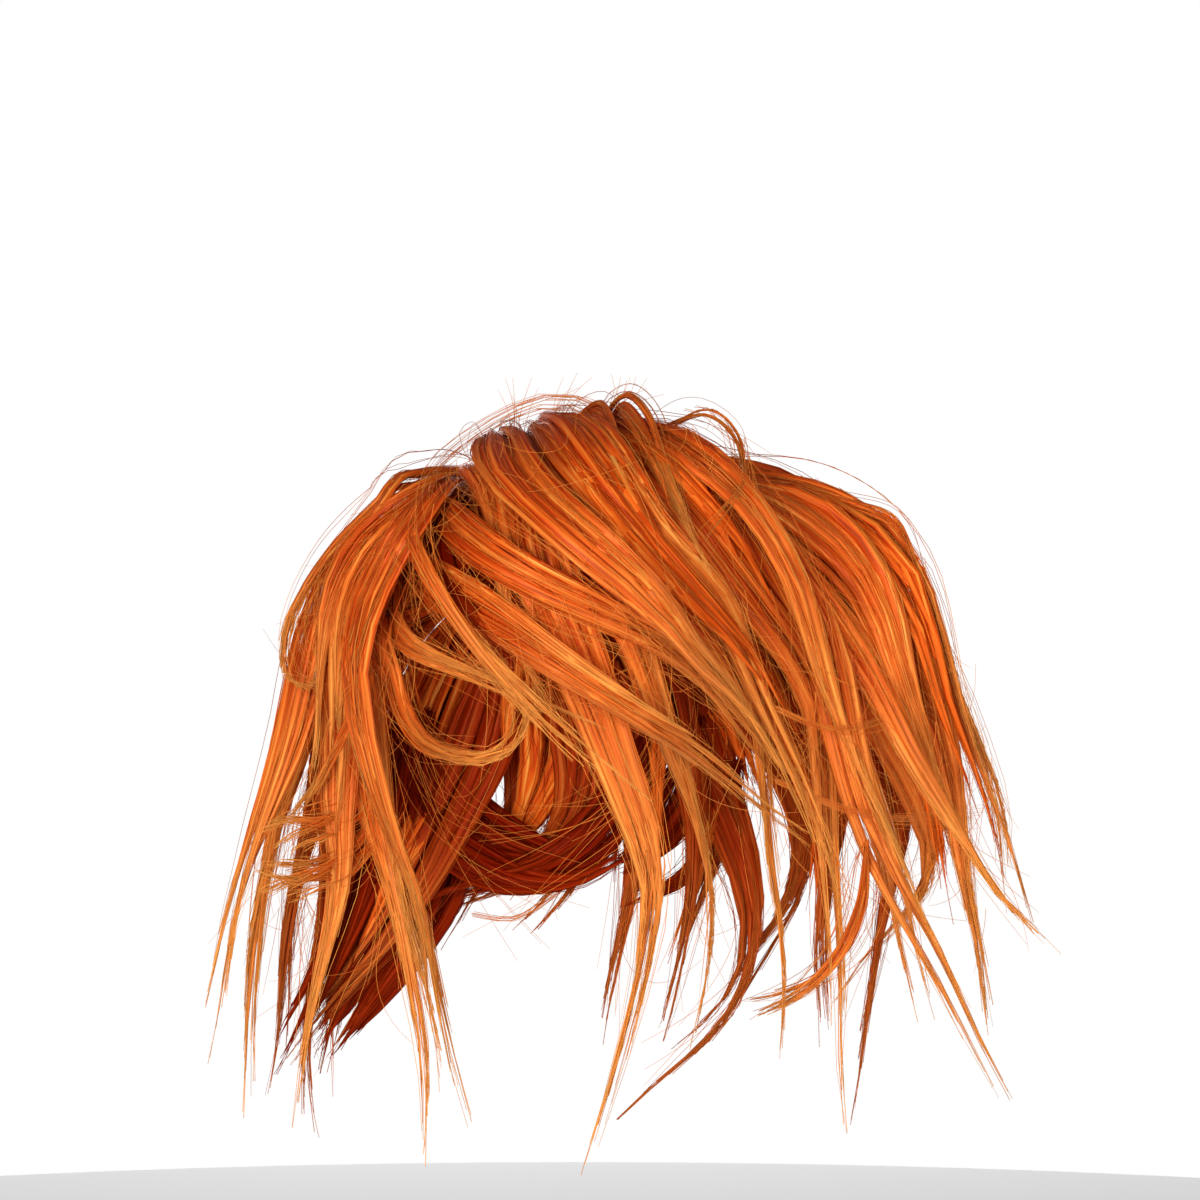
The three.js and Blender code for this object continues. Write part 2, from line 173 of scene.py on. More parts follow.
# Wisps behind the locks' face: name, half width, then points across, back and up
INNER_WISPS = (
    ("under_crown", 9.0, ((-24, -20, 20), (-18, -46, 10), (-10, -64, -6), (6, -70, -21), (24, -72, -40))),
    ("under_crest", 9.0, ((-6, -22, 24), (-3, -48, 12), (1, -66, -10), (9, -70, -38))),
    ("under_left", 11.0, ((-34, -24, 8), (-38, -48, -6), (-34, -62, -24), (-18, -68, -46))),
    ("nape_sweep_1", 9.0, ((-52, 2, -80), (-42, 4, -102), (-23, 4, -113), (0, 4, -114), (22, 4, -102))),
    ("nape_sweep_2", 9.0, ((-45, 6, -70), (-33, 8, -92), (-13, 8, -104), (9, 8, -103), (28, 8, -86))),
    ("nape_sweep_3", 9.0, ((24, 4, -66), (12, 6, -92), (-7, 6, -107), (-29, 4, -115), (-52, 2, -124))),
    ("nape_sweep_4", 8.0, ((54, 6, -76), (47, 8, -99), (35, 8, -113), (14, 6, -120))),
    ("nape_sweep_5", 9.0, ((42, 8, -62), (36, 10, -85), (24, 10, -104), (6, 8, -115))),
    ("left_back_1", 11.0, ((-46, 4, -60), (-56, 4, -96), (-68, 4, -136), (-88, 2, -178))),
    ("left_back_2", 11.0, ((-34, 8, -70), (-45, 8, -106), (-58, 8, -142), (-82, 6, -180))),
    ("left_back_3", 10.0, ((-52, 0, -60), (-66, 0, -100), (-79, 0, -138), (-93, 0, -176))),
)
# Fine lines of single hairs: name, hairs, width, then points across, up and, off the face, back
FINE_LINES = (
    ("gold_wisp", 18, 9.0, (
        (12, 34, -14), (-3, 39, -16), (-21, 33, -18), (-40, 19, -20), (-45, 8), (-45, -6), (-42, -19))),
    ("crest_frizz", 16, 9.0, ((12, 32, -10), (14, 37, -12), (17, 41, -14), (19, 45, -15))),
    ("crest_fuzz_left", 12, 8.0, ((-18, 28, -10), (-18, 32, -11), (-19, 36, -12), (-21, 39, -12))),
    ("crest_fuzz", 12, 8.0, ((-4, 30, -10), (-4, 34, -11), (-3, 38, -12), (-1, 40, -12))),
    ("nape_frizz_left", 14, 28.0, ((-50, -70, -2), (-40, -90, -4), (-24, -102, -4), (-4, -106, -4))),
    ("nape_frizz_right", 14, 28.0, ((32, -70, -2), (20, -88, -4), (0, -100, -4), (-22, -108, -4))),
    ("low_arc", 12, 3.0, ((-32, -126), (-18, -127), (-3, -117), (8, -106))),
    ("side_arc", 14, 3.0, ((64, -58), (78, -64), (90, -65), (101, -62))),
    ("side_arc_low", 14, 3.0, ((64, -81), (83, -89), (101, -94), (131, -93))),
)


def find(sockets, name):
    """The socket with a name, identifier or place, or the first one in use."""
    if isinstance(name, int):
        return sockets[name]
    for socket in sockets:
        if socket.enabled and name in (None, socket.name, socket.identifier):
            return socket
    return None


def step(operation, swapped=False):
    """An operator of a socket, which adds one node of arithmetic."""
    def operator(self, other):
        first, second = (other, self) if swapped else (self, other)
        return self.graph.arithmetic(operation, first, second)

    return operator


class Socket:
    """A node's output that takes part in Python arithmetic, where each step adds a node."""

    __add__, __radd__ = step("ADD"), step("ADD", swapped=True)
    __sub__, __rsub__ = step("SUBTRACT"), step("SUBTRACT", swapped=True)
    __mul__, __rmul__ = step("MULTIPLY"), step("MULTIPLY", swapped=True)
    __truediv__, __rtruediv__ = step("DIVIDE"), step("DIVIDE", swapped=True)
    __pow__, __mod__ = step("POWER"), step("MODULO")
    __lt__, __gt__ = step("LESS_THAN"), step("GREATER_THAN")

    def __init__(self, graph, socket):
        self.graph = graph
        self.socket = socket

    def output(self, name):
        """Another output of the same node."""
        return Socket(self.graph, find(self.socket.node.outputs, name))


class Graph:
    """Adds nodes to one shader or geometry tree."""

    def __init__(self, tree):
        self.tree = tree

    def node(self, kind, settings=(), sockets=(), output=None):
        """Adds a node: its settings first, then values or links for its sockets."""
        node = self.tree.nodes.new(kind)
        for name, value in dict(settings).items():
            if name == "stops":
                self.set_stops(node.color_ramp, value)
            else:
                setattr(node, name, value)
        for name, value in dict(sockets).items():
            socket = find(node.inputs, name)
            if isinstance(value, Socket):
                self.tree.links.new(value.socket, socket)
            else:
                socket.default_value = value
        return Socket(self, find(node.outputs, output))

    @staticmethod
    def set_stops(ramp, stops):
        """Places a colour ramp's stops."""
        while len(ramp.elements) < len(stops):
            ramp.elements.new(1.0)
        for element, (position, color) in zip(ramp.elements, stops):
            element.position = position
            element.color = (*color, 1.0)

    def arithmetic(self, operation, first, second):
        """A Math node for values, or a Vector Math node where either side is a vector."""
        def is_vector(term):
            return isinstance(term, Socket) and term.socket.type in {"VECTOR", "RGBA"}

        if operation == "MULTIPLY" and is_vector(first) != is_vector(second):
            arrow, factor = (first, second) if is_vector(first) else (second, first)
            return self.node("ShaderNodeVectorMath", {"operation": "SCALE"}, {0: arrow, "Scale": factor})
        kind = "ShaderNodeVectorMath" if is_vector(first) or is_vector(second) else "ShaderNodeMath"
        return self.node(kind, {"operation": operation}, {0: first, 1: second})

    def smooth(self, value, start, end, first, last):
        """A value that goes smoothly from first to last between start and end."""
        return self.node("ShaderNodeMapRange", {"interpolation_type": "SMOOTHSTEP"}, {
            "Value": value, "From Min": start, "From Max": end, "To Min": first, "To Max": last})

    def mix(self, factor, first, second):
        """One colour faded into another."""
        return self.node("ShaderNodeMix", {"data_type": "RGBA"}, {"Factor": factor, "A": first, "B": second})

    def attribute(self, name):
        """A number that the piece's mesh carries."""
        return self.node("ShaderNodeAttribute", {"attribute_name": name}, output="Fac")

    def given(self, name):
        """One of the tree's own inputs."""
        return self.node("NodeGroupInput", output=name)

    def store(self, geometry, name, value, kind="FLOAT", domain="POINT"):
        """Keeps a number under a name on every point or corner."""
        return self.node("GeometryNodeStoreNamedAttribute", {"data_type": kind, "domain": domain}, {
            "Geometry": geometry, "Name": name, "Value": value})

    def kept(self, name, kind="FLOAT"):
        """A number that an earlier step kept."""
        return self.node("GeometryNodeInputNamedAttribute", {"data_type": kind}, {"Name": name})


def geometry_graph(name, inputs):
    """An empty geometry tree with named inputs and one output."""
    tree = bpy.data.node_groups.new(name, "GeometryNodeTree")
    for label, kind in inputs:
        tree.interface.new_socket(label, in_out="INPUT", socket_type="NodeSocket" + kind)
    tree.interface.new_socket("Geometry", in_out="OUTPUT", socket_type="NodeSocketGeometry")
    return Graph(tree)


def material_graph(name):
    """A new material and its empty shader tree."""
    material = bpy.data.materials.new(name)
    material.use_nodes = True
    material.node_tree.nodes.clear()
    return material, Graph(material.node_tree)


def swept(graph, curves, corners, first_row, row_width, radius=1.0):
    """Closed tubes along curves, each with its own strip of the map, and the turn round each tube."""
    profile = graph.node("GeometryNodeCurvePrimitiveCircle", {"mode": "RADIUS"}, {
        "Resolution": corners, "Radius": 1.0})
    profile = graph.store(profile, "around", graph.node("GeometryNodeSplineParameter", output="Factor"))
    mesh = graph.node("GeometryNodeCurveToMesh", {}, {
        "Curve": curves, "Profile Curve": profile, "Scale": radius, "Fill Caps": True})
    around = graph.kept("around")
    face_middle = graph.node("GeometryNodeFieldOnDomain", {"data_type": "FLOAT", "domain": "FACE"}, {
        "Value": around})
    over = first_row + (graph.kept("row") + 0.1 + 0.8 * (around + (face_middle - around > 0.25))) * row_width
    place = graph.node("ShaderNodeCombineXYZ", {}, {"X": graph.kept("along"), "Y": over})
    return graph.store(mesh, UV_MAP, place, "FLOAT2", "CORNER"), around * (2 * math.pi)


def finish_hair(graph, mesh):
    """The last steps of a tree of hair."""
    mesh = graph.node("GeometryNodeSetShadeSmooth", {}, {"Geometry": mesh})
    mesh = graph.node("GeometryNodeRealizeInstances", {}, {"Geometry": mesh})
    mesh = graph.node("GeometryNodeSetMaterial", {}, {"Geometry": mesh, "Material": graph.given("Finish")})
    graph.node("NodeGroupOutput", {}, {"Geometry": mesh})


def strand_graph():
    """Tree that fills a lock with flat tapered wisps, and lays strands over each wisp."""
    graph = geometry_graph("Strands of a lock", (
        ("Guide", "Geometry"), ("Strands", "Int"), ("Points", "Int"), ("Wisps", "Int"), ("Seed", "Int"),
        ("Radius", "Float"), ("Wisp width", "Float"), ("Wisp thickness", "Float"), ("Spread", "Float"),
        ("Fullness", "Float"), ("Frizz", "Float"), ("Tangle", "Float"), ("Sway", "Float"), ("Fray", "Float"),
        ("Stray", "Float"), ("Finish", "Material")))
    guide = graph.node("GeometryNodeMeshToCurve", {}, {"Mesh": graph.given("Guide")})
    guide = graph.node("GeometryNodeCurveSplineType", {"spline_type": "CATMULL_ROM"}, {"Curve": guide})
    line = graph.node("GeometryNodeCurvePrimitiveLine", {}, {"End": (0.0, 0.0, 1.0)})
    line = graph.node("GeometryNodeResampleCurve", {"mode": "COUNT"}, {
        "Curve": line, "Count": graph.given("Points")})
    along = graph.node("GeometryNodeSplineParameter", output="Factor")
    # Points lie closer together near the root, where a lock bends most
    way = along * 0.45 + along ** 2 * 0.55
    wisps = graph.given("Wisps")
    seed = graph.given("Seed")

    def chance(choice, low, high, key):
        return graph.node("FunctionNodeRandomValue", {"data_type": "FLOAT"}, {
            "Min": low, "Max": high, "ID": key, "Seed": seed + (CHOICES.index(choice) + 1)})

    def wander(wave, key, place):
        noise = graph.node("ShaderNodeTexNoise", {"noise_dimensions": "4D"}, {
            "Vector": place, "W": key * WAVE_STEP + seed, "Scale": 1 / wave, "Detail": 0.0}, "Color")
        return noise - (0.5, 0.5, 0.5)

    def function(operation, value):
        return graph.node("ShaderNodeMath", {"operation": operation}, {0: value})

    def vector_function(operation, arrow):
        return graph.node("ShaderNodeVectorMath", {"operation": operation}, {0: arrow})

    def bundle(amount, flat):
        copies = graph.node("GeometryNodeDuplicateElements", {"domain": "SPLINE"}, {
            "Geometry": line, "Amount": amount}, "Geometry")
        number = copies.output("Duplicate Index")
        wisp = number if flat else number % wisps
        lane = (wisp + 0.5) / wisps * 2 - 1 + chance("lane", -0.15, 0.15, wisp)
        point = function("FLOOR", (wisp + 0.5) / wisps * TIP_POINTS)
        reach = (1 - 0.16 * lane * lane) * chance("wisp reach", 0.84, 1.0, wisp)
        reach = reach * (0.97 if flat else chance("strand reach", 0.82, 1.04, number))

        def sampled(name):
            return graph.node("GeometryNodeSampleCurve", {"data_type": "FLOAT_VECTOR", "mode": "FACTOR"}, {
                "Curves": guide, "Value": graph.kept(name, "FLOAT_VECTOR"), "Factor": way * reach}, "Value")

        across = sampled("across")
        through = sampled("through")
        center = across.output("Position")
        side = vector_function("NORMALIZE", across)
        face = vector_function("NORMALIZE", through)
        spread = graph.given("Spread") * graph.smooth(way, 0.26, 1.0, 1.0, 0.16)
        half_width = vector_function("LENGTH", across) + graph.given("Fullness") * way ** 2
        fray = graph.given("Fray") * along ** 4
        middle = center + side * (half_width * lane * spread)
        middle = middle + through * (chance("layer", -0.6, 0.6, wisp) * spread)
        middle = middle + side * (chance("point side", -1.0, 1.0, point) * fray * 0.6)
        middle = middle + face * (chance("point face", -1.0, 1.0, point) * fray * 0.6)
        tangle = wander(TANGLE_WAVE, point + POINT_WAVES, center) * along
        tangle = tangle + wander(TANGLE_WAVE, wisp, center) * (1 - along)
        middle = middle + tangle * (graph.given("Tangle") * 2 * along ** 0.5)
        sway = graph.given("Sway") * 2 * graph.smooth(along, 0.15, 0.8, 0.0, 1.0)
        middle = middle + wander(SWAY_WAVE, 0.0, center) * sway

        taper = 1 - way ** 6
        width = half_width * graph.given("Wisp width") * chance("width", 0.8, 1.2, wisp) * taper
        depth = vector_function("LENGTH", through) * graph.given("Wisp thickness") * taper
        twist = chance("twist", -0.5, 0.5, wisp) + chance("curl", -0.8, 0.8, wisp) * along
        cosine = function("COSINE", twist)
        sine = function("SINE", twist)
        broad = (side * cosine + face * sine) * width
        narrow = (face * cosine - side * sine) * depth
        tone = chance("wisp tone", 0.0, 1.0, wisp)
        if flat:
            position = middle
        else:
            turn = chance("place round", 0.0, 2 * math.pi, number)
            stray = chance("stray", 0.0, 1.0, number) < STRAY_SHARE
            bow = along * (1 - along) * 4 * stray * graph.given("Stray")
            off = chance("place off", 0.85, 1.08, number)
            outward = broad * function("COSINE", turn) + narrow * function("SINE", turn)
            position = middle + outward * off + vector_function("NORMALIZE", outward) * bow
            frizz = graph.given("Frizz") * 2 * (0.9 - 0.4 * along)
            position = position + wander(FRIZZ_WAVE, number, center) * frizz
            position = position + side * (chance("tip side", -0.55, 0.55, number) ** 3 * fray)
            position = position + face * (chance("tip face", -0.55, 0.55, number) ** 3 * fray)
            tone = 0.3 * tone + 0.7 * chance("strand tone", 0.0, 1.0, number) + 0.25 * stray
        curves = graph.node("GeometryNodeSetPosition", {}, {"Geometry": copies, "Position": position})
        for name, value in (("along", way), ("tone", tone), ("flat", float(flat)), ("row", number)):
            curves = graph.store(curves, name, value)
        if not flat:
            radius = graph.given("Radius") * chance("radius", 0.7, 1.3, number) * (1 - 0.4 * way ** 2)
            row_width = (1 - STRAND_ROWS) / amount
            return swept(graph, curves, 3, STRAND_ROWS, row_width, radius * (1 - 0.4 * stray))[0]
        for name, value in (("middle", middle), ("broad", broad), ("narrow", narrow)):
            curves = graph.store(curves, name, value, "FLOAT_VECTOR")
        mesh, around = swept(graph, curves, 6, 0.0, WISP_ROW, 0.0001)
        place = graph.kept("middle", "FLOAT_VECTOR")
        place = place + graph.kept("broad", "FLOAT_VECTOR") * function("COSINE", around)
        place = place + graph.kept("narrow", "FLOAT_VECTOR") * function("SINE", around)
        mesh = graph.node("GeometryNodeSetPosition", {}, {"Geometry": mesh, "Position": place})
        mesh = graph.node("GeometryNodeFlipFaces", {}, {"Mesh": mesh})
        for name in ("middle", "broad", "narrow"):
            mesh = graph.node("GeometryNodeRemoveAttribute", {}, {"Geometry": mesh, "Name": name})
        return mesh

    whole = graph.node("GeometryNodeJoinGeometry")
    for part in (bundle(wisps, True), bundle(graph.given("Strands"), False)):
        graph.tree.links.new(part.socket, find(whole.socket.node.inputs, "Geometry"))
    finish_hair(graph, whole)
    return graph


def hair_graph():
    """Tree that turns drawn lines into single hairs."""
    graph = geometry_graph("Single hairs", (
        ("Guide", "Geometry"), ("Hairs", "Int"), ("Points", "Int"), ("Seed", "Int"), ("Radius", "Float"),
        ("Taper", "Float"), ("Finish", "Material")))
    lines = graph.node("GeometryNodeMeshToCurve", {}, {"Mesh": graph.given("Guide")})
    lines = graph.node("GeometryNodeCurveSplineType", {"spline_type": "CATMULL_ROM"}, {"Curve": lines})
    lines = graph.node("GeometryNodeResampleCurve", {"mode": "COUNT"}, {
        "Curve": lines, "Count": graph.given("Points")})
    hair = graph.kept("hair")
    along = graph.node("GeometryNodeSplineParameter", output="Factor")
    tone = graph.node("FunctionNodeRandomValue", {"data_type": "FLOAT"}, {
        "Min": 0.7, "Max": 1.5, "ID": hair, "Seed": graph.given("Seed")})
    lines = graph.store(lines, "along", along)
    lines = graph.store(lines, "tone", tone)
    lines = graph.store(lines, "flat", 0.0)
    lines = graph.store(lines, "row", hair)
    radius = graph.given("Radius") * (1 - graph.given("Taper") * along ** 2)
    finish_hair(graph, swept(graph, lines, 3, 0.0, 1 / graph.given("Hairs"), radius)[0])
    return graph


def grow(name, guide, graph, values):
    """A plain mesh object, grown from a guide mesh by a tree with its inputs set."""
    holder = bpy.data.objects.new(name, guide)
    bpy.context.scene.collection.objects.link(holder)
    modifier = holder.modifiers.new("Growth", "NODES")
    modifier.node_group = graph.tree
    for item in graph.tree.interface.items_tree:
        if item.in_out == "INPUT" and item.name in values:
            modifier[item.identifier] = values[item.name]
    depsgraph = bpy.context.evaluated_depsgraph_get()
    mesh = bpy.data.meshes.new_from_object(
        holder.evaluated_get(depsgraph), preserve_all_data_layers=True, depsgraph=depsgraph)
    holder.modifiers.remove(modifier)
    holder.data = mesh
    mesh.name = name
    mesh.materials.clear()
    mesh.materials.append(values["Finish"])
    mesh.polygons.foreach_set("material_index", [0] * len(mesh.polygons))
    bpy.data.meshes.remove(guide)
    if not mesh.polygons:
        raise RuntimeError(f"{name} grew no faces")
    return holder


def place_piece(piece, slot_name, *nodes):
    """Hands a finished piece to the frame."""
    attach(piece, "root")
    if nodes:
        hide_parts(*nodes)


def band_gap(point, radius):
    """How far a point is from the band's centre line."""
    return math.hypot(math.hypot(point.x, point.z) - radius, point.y)


def next_corners(seen, first, ring=None):
    """The corners of a ring in order, and each one's partner in the ring ahead."""
    follow = {}
    partner = {}
    for vert in ring or seen:
        for face in vert.link_faces:
            corners = list(face.verts)
            fresh = [corner for corner in corners if corner not in seen]
            if len(fresh) != 1:
                continue
            at = corners.index(fresh[0])
            follow[corners[at - 1]] = corners[(at + 1) % 3]
            partner[corners[at - 1]] = fresh[0]
    if ring is None:
        ring = [first]
        while len(ring) < RING_CORNERS:
            ring.append(follow[ring[-1]])
    return ring, partner


def lock_sections(node, band_radius):
    """Centre, half width and half thickness of each section of a lock, from its root to its tip."""
    shell = bmesh.new()
    shell.from_mesh(frame["nodes"][node].data)
    bmesh.ops.remove_doubles(shell, verts=shell.verts, dist=0.001 * MM)
    fans = [vert for vert in shell.verts if len(vert.link_edges) > RING_CORNERS]
    root = min(fans, key=lambda vert: band_gap(vert.co, band_radius))
    cap = max(([other for other in root.link_faces if other.normal.dot(face.normal) > 0.9999]
               for face in root.link_faces), key=len)
    seen = {vert for face in cap for vert in face.verts}
    ring, partner = next_corners(seen, root)
    sections = []
    while ring:
        center = sum((vert.co for vert in ring), Vector()) / RING_CORNERS
        sections.append((center, ring[0].co - center, ring[RING_CORNERS // 4].co - center))
        ahead = [partner[vert] for vert in ring if vert in partner]
        seen.update(ahead)
        ring = ahead
        if ring:
            _, partner = next_corners(seen, ring[0], ring)
    shell.free()
    return sections


def guide_mesh(name, lines, vectors=(), hair_of=None):
    """A mesh of open lines, with vectors or hair numbers kept on its points."""
    points = [point for line in lines for point in line]
    edges = []
    start = 0
    for line in lines:
        edges += [(start + k, start + k + 1) for k in range(len(line) - 1)]
        start += len(line)
    mesh = bpy.data.meshes.new(name)
    mesh.from_pydata([tuple(point) for point in points], edges, [])
    for label, values in vectors:
        kept = mesh.attributes.new(label, "FLOAT_VECTOR", "POINT")
        for item, value in zip(kept.data, values):
            item.vector = value
    if hair_of:
        kept = mesh.attributes.new("hair", "FLOAT", "POINT")
        for item, value in zip(kept.data, hair_of):
            item.value = value
    return mesh


def rounded(sections):
    """A lock's sections with their bends evened out."""
    centers = [center for center, _, _ in sections]
    for _ in range(BEND_PASSES):
        inner = [(before + 2 * center + after) / 4
                 for before, center, after in zip(centers[1:], centers[2:], centers[3:])]
        centers[2:-1] = inner
    return [(center, *halves) for center, (_, *halves) in zip(centers, sections)]


def lock_rows(sections, band_radius, sizes):
    """A lock's sections: round the band's cord from its front, then along the lock and past its tip."""
    first = sections[0][0]
    outward = Vector((first.x, 0.0, first.z)).normalized()
    across = sections[0][1]
    sign = math.copysign(1.0, sections[0][2].dot(BACK))
    rows = []
    for degrees in WRAP_ANGLES:
        turn = math.radians(degrees)
        spoke = outward * math.cos(turn) + BACK * math.sin(turn)
        rows.append((outward * band_radius + spoke * sizes.wrap_radius, across,
                     spoke * (sign * sizes.wrap_thickness)))
    rows += sections[1:]
    tail = (rows[-1][0] - rows[-2][0]).normalized() * sizes.tip_reach
    rows.append((rows[-1][0] + tail, rows[-1][1], rows[-1][2]))
    return rows


def front_depth(sections, x, z):
    """How far forward the hair's face is at a place, seen from the front."""
    near = sorted((math.hypot(center.x - x, center.z - z), center.y - 0.8 * through.length)
                  for center, _, through in sections)
    close = [depth for gap, depth in near if gap < FACE_REACH]
    return min(close) if close else near[0][1]


def face_route(points, sections):
    """Points on the locks' face, from their places across and up, or as far back as they say."""
    route = []
    for x, z, *back in points:
        depth = back[0] * MM if back else front_depth(sections, x * MM, z * MM)
        route.append(Vector((x * MM, depth, z * MM)))
    for _ in range(DEPTH_PASSES):
        for k in range(1, len(route) - 1):
            route[k].y = (route[k - 1].y + 2 * route[k].y + route[k + 1].y) / 4
    return route


def placed_route(points):
    """Points in space, from millimetres across, back and up."""
    return [Vector(point) * MM for point in points]


def wisp_rows(half_width, route):
    """Sections of a loose wisp that starts at a point."""
    last = len(route) - 1
    rows = []
    for k, center in enumerate(route):
        side = (route[min(k + 1, last)] - route[max(k - 1, 0)]).cross(BACK).normalized()
        width = half_width * MM * min(1.0, 0.05 + 2.5 * k / last)
        rows.append((center, side * width, BACK * (width * 0.4)))
    return rows


def grow_lock(graph, sizes, name, rows, seed, finish, changes):
    """One lock's hair along its sections."""
    half_width = sum(across.length for _, across, _ in rows) / len(rows) / MM
    guide = guide_mesh(name + "_guide", [[center for center, _, _ in rows]], (
        ("across", [row[1] for row in rows]), ("through", [row[2] for row in rows])))
    values = {
        "Strands": min(sizes.most, max(sizes.least, round(sizes.per_width * half_width))),
        "Wisps": min(MOST_WISPS, max(LEAST_WISPS, round(half_width * sizes.wisps_per_width))),
        "Points": sizes.points, "Seed": seed, "Radius": sizes.radius, "Wisp width": sizes.wisp_width,
        "Wisp thickness": sizes.wisp_thickness, "Spread": sizes.spread, "Fullness": sizes.fullness,
        "Frizz": sizes.frizz, "Tangle": sizes.tangle, "Sway": sizes.sway, "Fray": sizes.fray,
        "Stray": sizes.stray, "Finish": finish}
    return grow(name, guide, graph, {**values, **changes})


def shaded(color, brightness):
    """A colour with painted shade: darker and redder, as the hair looks deeper in, where less light reaches.
    """
    return tuple(channel * brightness ** power for channel, power in zip(color, (1.0, 2.0, 2.4)))


def hair_material(name, stops, root, tip, root_reach, gloss):
    """Satin fibre: painted shade deep between the strands; roots darker and redder, partly own colour, partly
    painted shade; tips paler, partly own colour, partly painted glow.
    """
    material, graph = material_graph(name)
    tone = graph.attribute("tone")
    along = graph.attribute("along")
    flat = graph.attribute("flat")
    place = graph.node("ShaderNodeUVMap", {"uv_map": UV_MAP})

    def streaks(counts, detail):
        stretch = graph.node("ShaderNodeVectorMath", {"operation": "MULTIPLY"}, {0: place, 1: (*counts, 1.0)})
        return graph.node("ShaderNodeTexNoise", {}, {
            "Vector": stretch, "Scale": 1.0, "Detail": detail}, "Fac")

    broad = streaks(BROAD_STREAKS, 1.0)
    streak = streaks(FINE_STREAKS, 2.0)
    level = 0.38 + tone * (0.42 - 0.17 * flat) + (broad - 0.5) * 0.9 + (streak - 0.5) * 2.1
    # The ramp's darker strands and streaks are partly the hair's own random tone and partly painted shade
    # deep between the strands
    color = graph.node("ShaderNodeValToRGB", {"stops": [
        (k / (len(stops) - 1), stop) for k, stop in enumerate(stops)]}, {"Fac": level})
    # Darker, redder roots: partly the hair's own colour, partly painted shade near the band; root_reach sets
    # how far down the lock the painted shade runs
    color = graph.mix(graph.smooth(along, 0.0, root_reach, 0.8, 0.0), color, (*root, 1.0))
    # Paler tips: partly the hair's own colour, partly painted light where the thin tips glow
    color = graph.mix(graph.smooth(along, 0.42, 1.0, 0.0, 0.8) * (1 - 0.3 * flat), color, (*tip, 1.0))
    bump = graph.node("ShaderNodeBump", {}, {"Strength": 0.8, "Distance": 0.4 * MM, "Height": streak})
    shader = graph.node("ShaderNodeBsdfPrincipled", {}, {
        "Base Color": color, "Roughness": 0.3 + 0.14 * streak, "Normal": bump, "Metallic": 0.12,
        "Specular IOR Level": gloss, "Specular Tint": SHEEN})
    graph.node("ShaderNodeOutputMaterial", {}, {"Surface": shader})
    return material


def knit_material(name, color, worn):
    """Matt covered elastic, with a fine rib across the cord."""
    material, graph = material_graph(name)
    place = graph.node("ShaderNodeUVMap", {"uv_map": UV_MAP})
    stretch = graph.node("ShaderNodeVectorMath", {"operation": "MULTIPLY"}, {0: place, 1: (420.0, 60.0, 1.0)})
    fluff = graph.node("ShaderNodeTexNoise", {}, {"Vector": stretch, "Scale": 1.0, "Detail": 3.0}, "Fac")
    base = graph.mix(fluff, (*color, 1.0), (*worn, 1.0))
    bump = graph.node("ShaderNodeBump", {}, {"Strength": 0.4, "Distance": 0.2 * MM, "Height": fluff})
    shader = graph.node("ShaderNodeBsdfPrincipled", {}, {
        "Base Color": base, "Roughness": 0.75 + 0.15 * fluff, "Normal": bump, "Specular IOR Level": 0.25})
    graph.node("ShaderNodeOutputMaterial", {}, {"Surface": shader})
    return material


def floor_material(name, color):
    """Pale matt paper with a faint mottle."""
    material, graph = material_graph(name)
    place = graph.node("ShaderNodeTexCoord", output="Object")
    mottle = graph.node("ShaderNodeTexNoise", {}, {"Vector": place, "Scale": 30.0, "Detail": 4.0}, "Fac")
    base = graph.mix(mottle * 0.06, (*color, 1.0), FLOOR_MOTTLE)
    shader = graph.node("ShaderNodeBsdfPrincipled", {}, {
        "Base Color": base, "Roughness": 0.85, "Emission Color": base, "Emission Strength": FLOOR_GLOW})
    graph.node("ShaderNodeOutputMaterial", {}, {"Surface": shader})
    return material


def colour(label, note, default):
    """A colour that a user may change."""
    return FloatVectorProperty(
        name=label, description=note, default=default, subtype="COLOR", size=3, min=0.0, max=1.0)


def length(label, note, default):
    """A length that a user may change."""
    return FloatProperty(name=label, description=note, default=default, unit="LENGTH", subtype="DISTANCE")


class HairpieceColors(bpy.types.PropertyGroup):
    """Colours of the hair and the elastic."""

    dark: colour("Dark strand", "Darkest strands of a lit lock", (0.60, 0.050, 0.003))
    main: colour("Main strand", "Most strands of a lit lock", (0.80, 0.118, 0.009))
    bright: colour("Bright strand", "Lighter strands of a lit lock", (0.92, 0.20, 0.019))
    # The gold laid on the tips is partly the hair's own colour, partly painted glow of thin tips lit from
    # behind
    gold: colour("Golden strand", "Palest strands and the tips", (1.0, 0.42, 0.08))
    # Root: partly the hair's own colour near the band, partly painted shade
    root: colour("Root", "Hair near the band", (0.52, 0.046, 0.003))
    # Depth: the darkest strands, partly the hair's own tone and partly painted shade deep inside a lock; also
    # the thread's colour
    depth: colour("Depth", "Hair inside a lock", (0.26, 0.018, 0.001))
    fine: colour("Fine hair", "Single loose hairs", (0.95, 0.31, 0.05))
    elastic: colour("Elastic", "Cover of the band", (0.14, 0.022, 0.006))
    elastic_worn: colour("Elastic, worn", "Raised threads of the band", (0.24, 0.05, 0.014))


